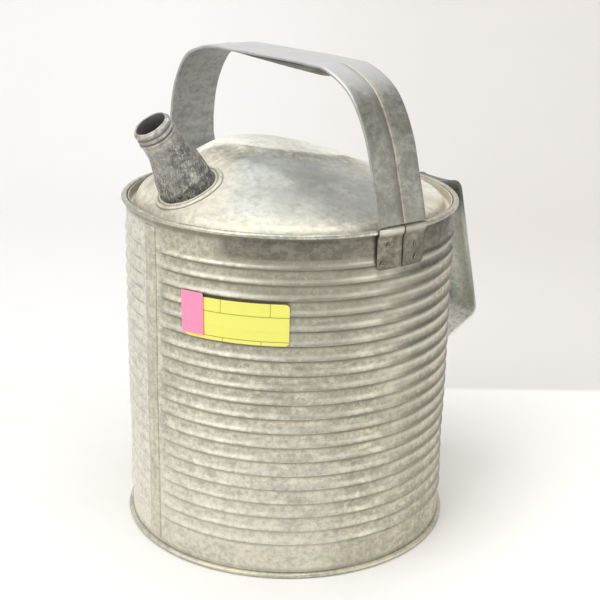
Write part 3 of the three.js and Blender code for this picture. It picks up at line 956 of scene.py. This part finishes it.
def strap_line(count):
    """The strap's outer face, front foot to back foot: distance towards +Y, and height."""
    foot = CAN_HEIGHT + SHEET + 5 * GAP
    guide = [
        (-109.8, foot), (-103, 250), (-94.5, 276), (-79, 299.5), (-55, HANDLE_TOP - 1.7),
        (-38, HANDLE_TOP - 0.4), (15, HANDLE_TOP), (68, HANDLE_TOP - 0.6), (82, HANDLE_TOP - 3.4),
        (97, 303.5), (112, 283), (118, 258), (118, 240), (110, foot),
    ]
    return line_through(guide, count)


def path_frames(line):
    """At each point of a plane line, the unit direction out of the band's outer face."""
    along = np.gradient(line, axis=0)
    along /= np.linalg.norm(along, axis=1, keepdims=True)
    return np.stack([-along[:, 1], along[:, 0]], axis=1)


def folded_section(groove):
    """The strap's section, (across, out): two flaps folded over the outer face, meeting in a groove."""
    half = STRAP_WIDTH / 2
    thick = STRAP_THICKNESS
    bend = thick / 2
    crown = 0.18
    right = arc((half - bend, -bend), bend, -90, 90, 9)
    left = arc((-half + bend, -bend), bend, 90, 270, 9)
    flap = np.linspace(half - bend - 2, 1.2, 5)
    right_flap = [(u, crown * (1 - (u / half) ** 2)) for u in flap]
    left_flap = [(-u, v) for u, v in reversed(right_flap)]
    lips = [(0.7, crown - 0.02), (0.38, crown - 0.35 * groove), (0.1, crown - 1.15 * groove),
            (-0.1, crown - 1.15 * groove), (-0.25, crown - 0.3 * groove), (-0.7, crown + 0.1 * groove)]
    across = np.linspace(-half + bend + 2, half - bend - 2, 9)
    inner = [(u, -thick - 0.12 * (1 - (u / half) ** 2)) for u in across]
    return np.array(right + right_flap + lips + left_flap + left + inner)


def sweep_band(line, section_at, width_at=None):
    """Sweeps a changing section along a plane line; returns loops as (across, along, up)."""
    out = path_frames(line)
    rings = []
    for i, (place, away) in enumerate(zip(line, out)):
        section = section_at(i)
        scale = width_at(i) if width_at else 1.0
        flat = place + section[:, 1:2] * away
        rings.append(np.stack([section[:, 0] * scale, flat[:, 0], flat[:, 1]], axis=1))
    return np.array(rings)


def build_carry_handle():
    count = 240
    line = strap_line(count)
    line[:, 0] = np.minimum(line[:, 0], 118.6)
    line[:, 1] = np.minimum(line[:, 1], HANDLE_TOP + 0.02)
    fade = np.maximum(smoothstep(-46, -56, line[:, 0]), smoothstep(58, 70, line[:, 0]))
    wander = 0.12 * np.sin(np.arange(count) / 13) + 0.08 * np.sin(np.arange(count) / 5)

    def section_at(i):
        section = folded_section(fade[i])
        section[:, 1] -= 0.25
        section[:, 0] += wander[i]
        return section

    strap = swept_solid("folded_strap", sweep_band(line, section_at, lambda i: 0.985), sharp=32)
    points = can_points(strap)
    x, y, height = points.T
    legs = np.maximum(smoothstep(-46, -56, y), smoothstep(58, 70, y))
    outward = outer_side(points, line)
    edge = smoothstep(17.4, 18.3, np.abs(x))
    paint(
        strap,
        # Painted shade with grime: a dark line beside the raised lip where the flaps meet
        grime=hump(x, -0.9, 0.5) * legs * outward,
        # A pale line on the lip: dust and painted highlight
        dust=hump(x, 0.5, 0.6) * legs * outward,
        # Paler top and edges: wear and painted highlight
        worn=smoothstep(292, 312, height) * outward + 0.35 * edge,
        # Painted light: the inner faces painted a lighter, cooler grey
        inside=1 - outward,
        foot=smoothstep(242, 226, height),
    )
    painted_layers = (
        ("inside", (0.42, 0.435, 0.435), 0.75),
        ("worn", (0.64, 0.64, 0.655), 0.72),
        ("foot", (0.2, 0.192, 0.16), 0.5),
        ("dust", DUST, 0.8),
        ("grime", GRIME_AND_SHADE, 0.7),
    )
    keep(strap, strap_metal("strap_zinc", painted_layers), "handle_steel", "carry_handle")


def outer_side(points, line):
    """1 on the outer face of a band swept along a plane line, 0 on its inner face."""
    place = points[:, 1:]
    nearest = np.argmin(
        (place[:, :1] - line[None, :, 0]) ** 2 + (place[:, 1:] - line[None, :, 1]) ** 2, axis=1
    )
    off_line = (place - line[nearest]) * path_frames(line)[nearest]
    return smoothstep(-1.4, -0.8, off_line[:, 0] + off_line[:, 1])


def strap_metal(name, painted_layers):
    return galvanised(name, STRAP_TONES, painted_layers, metallic=0.6, rough=(0.42, 0.6), spangle_mm=11.0, cloud=0.6)


def build_grip():
    """The round-bellied hand hold under the strap, tapered at its back end, with its lid sunk in near its
    closed front end, which is painted dark as painted shade.
    """
    front, back = -47.5, 43.0
    count = 90
    rings = []
    for place in np.linspace(front, back, count):
        share = (place - front) / (back - front)
        taper = min(1.0, math.sqrt(max(share, 0.02) * 11)) * max(1 - share, 0.03) ** 0.55
        half = 16.2 * (0.82 + 0.18 * taper)
        depth = 6.8 * taper
        top = HANDLE_TOP - STRAP_THICKNESS - 0.95
        hollow = 0.55 * smoothstep(0.10, 0.0, share)
        angles = np.radians(np.linspace(180, 360, 25))
        belly = [(half * math.cos(a), top + depth * math.sin(a)) for a in angles]
        lid = [(half * u, top - depth * hollow * (1 - u * u)) for u in np.linspace(0.96, -0.96, 13)]
        loop = np.array(belly + lid)
        rings.append(np.stack([loop[:, 0], np.full(len(loop), place), loop[:, 1]], axis=1))
    grip = swept_solid("grip_belly", np.array(rings), sharp=45)
    _, y, height = can_points(grip).T
    # Painted shade: the front end, and the top edge in the gap under the strap
    grime = smoothstep(-46, -50, y) + smoothstep(308.6, 309.6, height)
    paint(grip, grime=grime, dust=smoothstep(306.5, 304.6, height))
    painted_layers = (("dust", (0.36, 0.31, 0.25), 0.7), ("grime", GRIME_AND_SHADE, 0.85))
    keep(grip, strap_metal("grip_zinc", painted_layers), "handle_steel", "handle_grip")


# ---------------------------------------------------------------- tabs and welds

TAB_WIDTH = 18.4
TAB_BOTTOM = 199.0


def tab_profile():
    """A tab's outer face from its foot up the wall, over the rim and onto its top: (radius, height)."""
    over = CAN_HEIGHT + GAP + SHEET
    beside = RIM_RADIUS + GAP + SHEET
    rim_foot = CAN_HEIGHT - RIM_TALL
    corners = [
        (WALL_FACE + SHEET, TAB_BOTTOM),
        (WALL_FACE + SHEET, rim_foot - 2.4),
        (beside, rim_foot - 0.2),
        (beside, over),
        (WALL_INSIDE + 0.4, over),
    ]
    return even_steps(rounded_line(corners, 1.4), 64)


def build_tab(name, foot_angle, side):
    """One of the two flaps that a strap end splits into; side is -1 or 1 from the slit."""
    face = tab_profile()
    back = face + path_frames(face) * SHEET
    slit = 0.45
    across = np.linspace(slit, TAB_WIDTH, 22)
    rings = []
    seed = int(abs(foot_angle)) + side
    for u in across:
        lifted = smoothstep(TAB_WIDTH - 3, TAB_WIDTH, u)
        radius = face[:, 0] + 0.22 * lifted * smoothstep(206, 200, face[:, 1])
        radius = radius + 0.10 * waves(u / 3, face[:, 1] / 5, seed + 91)
        radius = np.minimum(radius, RIM_RADIUS + GAP + SHEET + 0.1)
        low_cut = 2.2 * smoothstep(TAB_WIDTH - 2.2, TAB_WIDTH, u) ** 2
        height = np.maximum(face[:, 1], TAB_BOTTOM + low_cut)
        inner_height = np.maximum(back[:, 1], TAB_BOTTOM + low_cut)
        degrees = foot_angle + side * math.degrees(u / (WALL_FACE + SHEET))
        for at, up in ((0.42, 212), (0.62, 203.5)):
            radius = radius - 0.45 * hump(u, at * TAB_WIDTH, 1.5) * hump(height, up, 1.5)
        outer = around_axis(radius, degrees, height)
        inner = around_axis(np.maximum(back[:, 0], WALL_INSIDE), degrees, inner_height)
        rings.append(np.concatenate([outer, inner[::-1]]))
    tab = swept_solid(name.replace("tab", "flap"), np.array(rings), sharp=35)
    points = can_points(tab)
    height = points[:, 2]
    u = np.abs(turn_apart(angles_of(points), foot_angle)) * math.radians(1) * (WALL_FACE + SHEET)
    # Darker along the slit, the outer edge and the foot: grime and painted shade
    edge = smoothstep(2.0, 0.4, u) + smoothstep(TAB_WIDTH - 1.2, TAB_WIDTH, u) * 0.8
    edge = edge + smoothstep(TAB_BOTTOM + 2, TAB_BOTTOM, height)
    # Grime over the whole flap, darker on the right flap
    grime = edge * 0.7 + 0.24 + 0.2 * side + 0.3 * waves(u / 2, height / 3, 95)
    # A paler band where the flap wraps over the rim: wear and painted highlight
    paint(tab, grime=grime, worn=hump(height, CAN_HEIGHT - 1, 2.4))
    painted_layers = (("worn", ZINC_PALE, 0.6), ("grime", GRIME_AND_SHADE, 0.65))
    keep(tab, galvanised(name + "_zinc", TAB_TONES, painted_layers), "handle_steel", name)


def build_weld(name):
    """A small crater left by a spot weld, standing where its node is."""
    low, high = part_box(name)
    centre = (Vector(low) + Vector(high)) / 2 - can_axis
    degrees = math.degrees(math.atan2(centre.y, centre.x))
    radius = math.hypot(centre.x, centre.y) / MM
    profile = [(0, -0.35), (1.3, -0.35), (1.6, -0.18), (1.45, -0.04),
               (1.1, 0.06), (0.75, -0.05), (0.35, -0.16), (0, -0.18)]
    out = Vector((math.cos(math.radians(degrees)), math.sin(math.radians(degrees)), 0))
    side = Vector((-out.y, out.x, 0))
    base = out * radius + Vector((0, 0, centre.z / MM))
    rings = []
    for turn in np.arange(28) * math.tau / 28:
        wobble = 1 + 0.08 * math.sin(turn * 3 + radius) + 0.05 * math.sin(turn * 5 + centre.z / MM)
        ring = [base + (side * math.cos(turn) + Vector((0, 0, 1)) * math.sin(turn)) * r * wobble + out * h
                for r, h in profile]
        rings.append(ring)
    weld = ring_solid(name.replace("weld", "spot"), np.array(rings))
    points = can_points(weld)
    middle = np.linalg.norm(points - np.array(base), axis=1)
    paint(weld, grime=smoothstep(0.95, 0.45, middle))
    painted_layers = (("grime", (0.03, 0.028, 0.024), 0.95),)
    keep(weld, galvanised(name + "_metal", WELD_TONES, painted_layers, spangle_mm=2.0), "weld_mark", name)


# ---------------------------------------------------------------- the tilt handle

REAR_WIDTH = 35.0
REAR_THICKNESS = 2.0


def build_rear_handle():
    low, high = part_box("rear_handle")
    bottom, top = low.z / MM, 203.0
    far = (high.x - can_axis.x) / MM
    lower_foot = WALL_FACE + REAR_THICKNESS
    corners = [(WALL_FACE, top), (WALL_FACE, 218.2), (141, 217.1),
               (166.9, 111.6), (lower_foot, 84.5), (lower_foot, bottom)]
    line = even_steps(rounded_line(corners, 8), 200)
    line[:, 0] = np.minimum(line[:, 0], far)
    out = path_frames(line)
    half = REAR_WIDTH / 2
    steps = np.arange(len(line))
    off_feet = smoothstep(0, 26, steps) * smoothstep(199, 180, steps)
    rings = []
    for i, (place, away) in enumerate(zip(line, out)):
        hollow = off_feet[i]
        section = rear_section(half * (1 - 0.02 * (1 - hollow)), hollow)
        flat = place + section[:, 1:2] * away
        sag = (1 - hollow) * (WALL_FACE - np.sqrt(np.maximum(WALL_FACE**2 - section[:, 0] ** 2, 0)))
        rings.append(np.stack([flat[:, 0] - sag, section[:, 0], flat[:, 1]], axis=1))
    handle = swept_solid("tilt_strap", np.array(rings), sharp=40)
    _, y, height = can_points(handle).T
    edge = smoothstep(half - 1.0, half, np.abs(y))
    patches = smoothstep(0.05, 0.5, waves(y / 9, height / 16, 101))
    patches = patches * smoothstep(108, 120, height) * smoothstep(212, 190, height)
    # Painted shadow under the top arm
    shadow = smoothstep(196, 207, height) * smoothstep(218, 215.5, height)
    paint(
        handle,
        patch=patches,
        # Painted shade: the half of the strap towards -Y, above its lower arm, painted a darker teal, weaker
        # where the pale patches lie
        teal=smoothstep(6, -10, y) * smoothstep(112, 126, height) * (1 - 0.4 * patches),
        # Grime and painted shade on the rolled edges, and the painted shadow under the top arm
        grime=edge * 0.4 + 1.3 * shadow,
        # Painted light: the lower arm, which faces up, painted pale, with less metal as for dust
        dust=smoothstep(118, 108, height),
    )
    painted_layers = (
        ("patch", (0.74, 0.74, 0.65), 0.9),
        ("teal", (0.13, 0.16, 0.15), 0.6),
        ("dust", (0.88, 0.86, 0.76), 1.0),
        ("grime", GRIME_AND_SHADE, 0.75),
    )
    zinc = galvanised("tilt_zinc", TILT_TONES, painted_layers, metallic=0.8, rough=(0.28, 0.46),
                      spangle_mm=12.0, cloud=0.9)
    keep(handle, zinc, "rear_handle_steel", "rear_handle")


def rear_section(half, hollow):
    """A strap rounded towards the hand, with both edges rolled outwards: (across, out)."""
    thick = 0.9
    belly = REAR_THICKNESS - thick
    roll = 0.95
    inner = [(u, -REAR_THICKNESS + hollow * belly * 0.8 * (u / half) ** 2)
             for u in np.linspace(-half + 1.6, half - 1.6, 13)]
    right = arc((half - roll, -roll), roll, -60, 150, 9)
    outer = [(u, -REAR_THICKNESS + thick + hollow * belly * 0.8 * (u / half) ** 2 + (1 - hollow) * belly)
             for u in np.linspace(half - 2.6, -half + 2.6, 13)]
    left = arc((-half + roll, -roll), roll, 30, 240, 9)
    return np.array(inner + right + outer + left)


# ---------------------------------------------------------------- stickers

def build_label(name, node, slot, material, first, last, bottom, top, radius, corner, lean=0.0, bumpy=0.16):
    """A thin sheet stuck across the ridges, with rounded corners; angles in degrees from +X."""
    columns, rows = 70, 44
    v = np.linspace(0, 1, rows)
    height_span = top - bottom
    width = math.radians(last - first) * radius
    rise = np.minimum(v, 1 - v) * height_span
    inset = corner - np.sqrt(np.maximum(corner**2 - np.maximum(corner - rise, 0) ** 2, 0))
    u = np.linspace(0, 1, columns)
    flat_u = (inset[:, None] + (width - 2 * inset[:, None]) * u[None, :]) / width
    flat_v = np.broadcast_to(v[:, None], flat_u.shape)
    shift = lean * (flat_v - 0.5) * height_span
    degrees = first + np.degrees((flat_u * width + shift) / radius)
    height = bottom + flat_v * height_span - lean * (flat_u - 0.5) * width
    sag = bumpy * (1 - ridge_rise(height)) * smoothstep(0, 0.06, np.minimum(flat_u, 1 - flat_u))
    front = around_axis(radius + 0.24 - sag, degrees, height)
    behind = around_axis(radius + 0.04 - sag, degrees, height)
    count = rows * columns
    faces = grid_faces(rows, columns, wrap_columns=False)
    faces += [tuple(count + i for i in reversed(face)) for face in faces]
    border = [*range(columns)]
    border += [row * columns + columns - 1 for row in range(1, rows)]
    border += [count - 1 - i for i in range(1, columns)]
    border += [row * columns for row in range(rows - 2, 0, -1)]
    for here, following in zip(border, border[1:] + border[:1]):
        faces.append((here, count + here, count + following, following))
    label = new_object(name, np.concatenate([front.reshape(-1, 3), behind.reshape(-1, 3)]), faces)
    sheet = np.stack([flat_u.ravel(), flat_v.ravel()], axis=1)
    sheet = np.concatenate([sheet, sheet])
    layer = label.data.uv_layers.new(name="sheet")
    corners = np.zeros(len(label.data.loops), np.int32)
    label.data.loops.foreach_get("vertex_index", corners)
    layer.data.foreach_set("uv", sheet[corners].astype(np.float32).ravel())
    keep(label, material, slot, node)


def build_labels():
    ruled = (
        ("v", 0.68, 0.009, 0.0, 1.0),
        ("v", 0.09, 0.009, 0.0, 1.0),
        ("u", 0.37, 0.0032, 0.68, 1.0),
        ("u", 0.83, 0.0032, 0.68, 1.0),
        ("u", 0.39, 0.0032, 0.0, 0.09),
        ("u", 0.75, 0.0032, 0.0, 0.09),
    )
    yellow = paper("yellow_sticker", (0.77, 0.74, 0.15), (0.16, 0.15, 0.03), ruled)
    pink = paper("pink_sticker", (0.90, 0.265, 0.43), (0.6, 0.1, 0.3), ())
    build_label("price_sticker", "price_label", "yellow_paper", yellow, -162.4, -127.3, 155.5, 181.3,
                WALL_FACE, 2.4)
    build_label("lot_sticker", "lot_label", "pink_paper", pink, -163.6, -155.3, 157.4, 183.6,
                WALL_FACE + 0.55, 0.3, lean=-0.02)


# ---------------------------------------------------------------- the studio

def build_studio():
    """A pale table that ends in a faint line behind the can, then a board that curves up; the table is
    painted lighter to the right of the can and the board darker to the right, as painted light and shade.
    """
    g = Graph("studio_paper")
    grain = g.noise(30, detail=4)
    split = g.add("SeparateXYZ", {"Vector": g.coordinates})
    table = g.mix(g.ranged(grain, 0.3, 0.7), (0.765, 0.753, 0.73), (0.78, 0.767, 0.745))
    # Painted light: the table lighter to the right of the can, where the can's shadow falls
    table = g.mix(g.ranged(split.outputs["X"], 0.0, 0.19), table, (0.88, 0.865, 0.84))
    # Painted shade: the board darker towards the right
    board = g.mix(g.ranged(split.outputs["X"], -0.25, 0.3), (0.77, 0.76, 0.757), (0.69, 0.665, 0.64))
    behind = g.ranged(split.outputs["Y"], 0.200, 0.212)
    colour = g.mix(behind, table, board)
    floor_material = g.finish(colour, 0.85, 0.0, g.bumps(((grain, 0.1, 0.1),)))
    reach = 12.0
    curve = [(-reach, 0.0), (0.75, 0.0)]
    curve += [(0.75 + 0.5 * math.sin(a), 0.5 - 0.5 * math.cos(a)) for a in np.linspace(0.15, math.pi / 2, 10)]
    curve += [(1.25, 3.0)]
    points = [(x, y, z) for y, z in curve for x in (-reach, reach)]
    faces = [(2 * i, 2 * i + 1, 2 * i + 3, 2 * i + 2) for i in range(len(curve) - 1)]
    mesh = bpy.data.meshes.new("studio_floor")
    mesh.from_pydata(points, [], faces)
    mesh.shade_smooth()
    floor = link_new("studio_floor", mesh)
    floor.rotation_euler = (0, 0, -VIEW_TURN)
    floor.location = can_axis
    floor.data.materials.append(floor_material)


def add_light(name, turn, height, distance, size, power, colour=(1, 1, 1)):
    """A soft box, placed by its angle from the camera's side of the can, anticlockwise seen from above."""
    light = bpy.data.lights.new(name, "AREA")
    light.shape = "RECTANGLE"
    light.size, light.size_y = size
    light.energy = power
    light.color = colour
    holder = link_new(name, light)
    heading = -math.pi / 2 - VIEW_TURN + math.radians(turn)
    holder.location = can_axis + Vector((math.cos(heading) * distance, math.sin(heading) * distance, height))
    aim = can_axis + Vector((0, 0, 0.13)) - holder.location
    holder.rotation_euler = aim.to_track_quat("-Z", "Y").to_euler()


def build_world():
    """Room light that is bright on the left of the view and dim on its upper right."""
    world = bpy.data.worlds.new("studio_room")
    world.use_nodes = True
    nodes, links = world.node_tree.nodes, world.node_tree.links
    dim_side = Vector((math.cos(VIEW_TURN), -math.sin(VIEW_TURN), 0)) * 0.85
    dim_side += Vector((-math.sin(VIEW_TURN), -math.cos(VIEW_TURN), 0)) * 0.3 + Vector((0, 0, 0.4))
    heading = nodes.new("ShaderNodeVectorMath")
    heading.operation = "DOT_PRODUCT"
    heading.inputs[1].default_value = dim_side.normalized()
    links.new(nodes.new("ShaderNodeTexCoord").outputs["Generated"], heading.inputs[0])
    strength = nodes.new("ShaderNodeMapRange")
    strength.interpolation_type = "SMOOTHSTEP"
    strength.inputs["From Min"].default_value = -0.35
    strength.inputs["From Max"].default_value = 0.8
    strength.inputs["To Min"].default_value = 0.8
    strength.inputs["To Max"].default_value = 0.22
    links.new(heading.outputs["Value"], strength.inputs["Value"])
    background = nodes["Background"]
    background.inputs["Color"].default_value = (0.97, 0.985, 1.0, 1)
    links.new(strength.outputs["Result"], background.inputs["Strength"])
    bpy.context.scene.world = world


def build_light():
    build_world()
    add_light("key_box", -50, 1.3, 1.35, (1.5, 1.5), 20, (1.0, 0.99, 0.97))
    add_light("top_box", 10, 2.0, 0.15, (1.6, 1.6), 24)
    add_light("fill_box", 62, 0.45, 1.6, (1.2, 0.8), 10, (1.0, 0.985, 0.96))
    bpy.context.scene.view_settings.view_transform = "Standard"


# The view: the camera's heading, its height angle above the can's middle, and its small turns off that point
VIEW_TURN = math.radians(37.7)
VIEW_RISE = math.radians(20.886)
VIEW_DISTANCE = 7.5286 * RIM_RADIUS * MM
VIEW_AIM_HEIGHT = 1.009 * RIM_RADIUS * MM
LENS_MM = 72.46


def build_camera():
    lens = bpy.data.cameras.new("camera")
    lens.lens = LENS_MM
    lens.sensor_width = 36
    lens.clip_start = 0.02
    camera = link_new("camera", lens)
    heading = Vector((math.sin(-VIEW_TURN), -math.cos(VIEW_TURN), 0))
    place = can_axis + heading * VIEW_DISTANCE * math.cos(VIEW_RISE)
    place.z = VIEW_AIM_HEIGHT + VIEW_DISTANCE * math.sin(VIEW_RISE)
    facing = Euler((math.pi / 2 - VIEW_RISE, 0, -VIEW_TURN)).to_matrix().to_4x4()
    small_turns = (
        Matrix.Rotation(math.radians(-0.541), 4, "Y")
        @ Matrix.Rotation(math.radians(2.448), 4, "X")
        @ Matrix.Rotation(math.radians(0.934), 4, "Z")
    )
    camera.matrix_world = Matrix.Translation(place) @ facing @ small_turns
    bpy.context.scene.camera = camera


build_camera()
build_light()
build_studio()
build_wall()
build_seam()
build_rim("top_bead", "top_rim", CAN_HEIGHT - RIM_TALL, (0.44, 0.43, 0.37), 0.55)
build_rim("foot_bead", "bottom_rim", 0.0, (0.62, 0.60, 0.49), 0.95)
build_floor()
build_head()
build_collar()
build_neck()
build_mouth()
build_carry_handle()
build_grip()
for foot, angle in (("front", -90), ("back", 90)):
    for hand, side in (("left", -1), ("right", 1)):
        build_tab(f"{foot}_tab_{hand}", angle, side)
for weld in sorted(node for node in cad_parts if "_weld_" in node):
    build_weld(weld)
build_rear_handle()
build_labels()
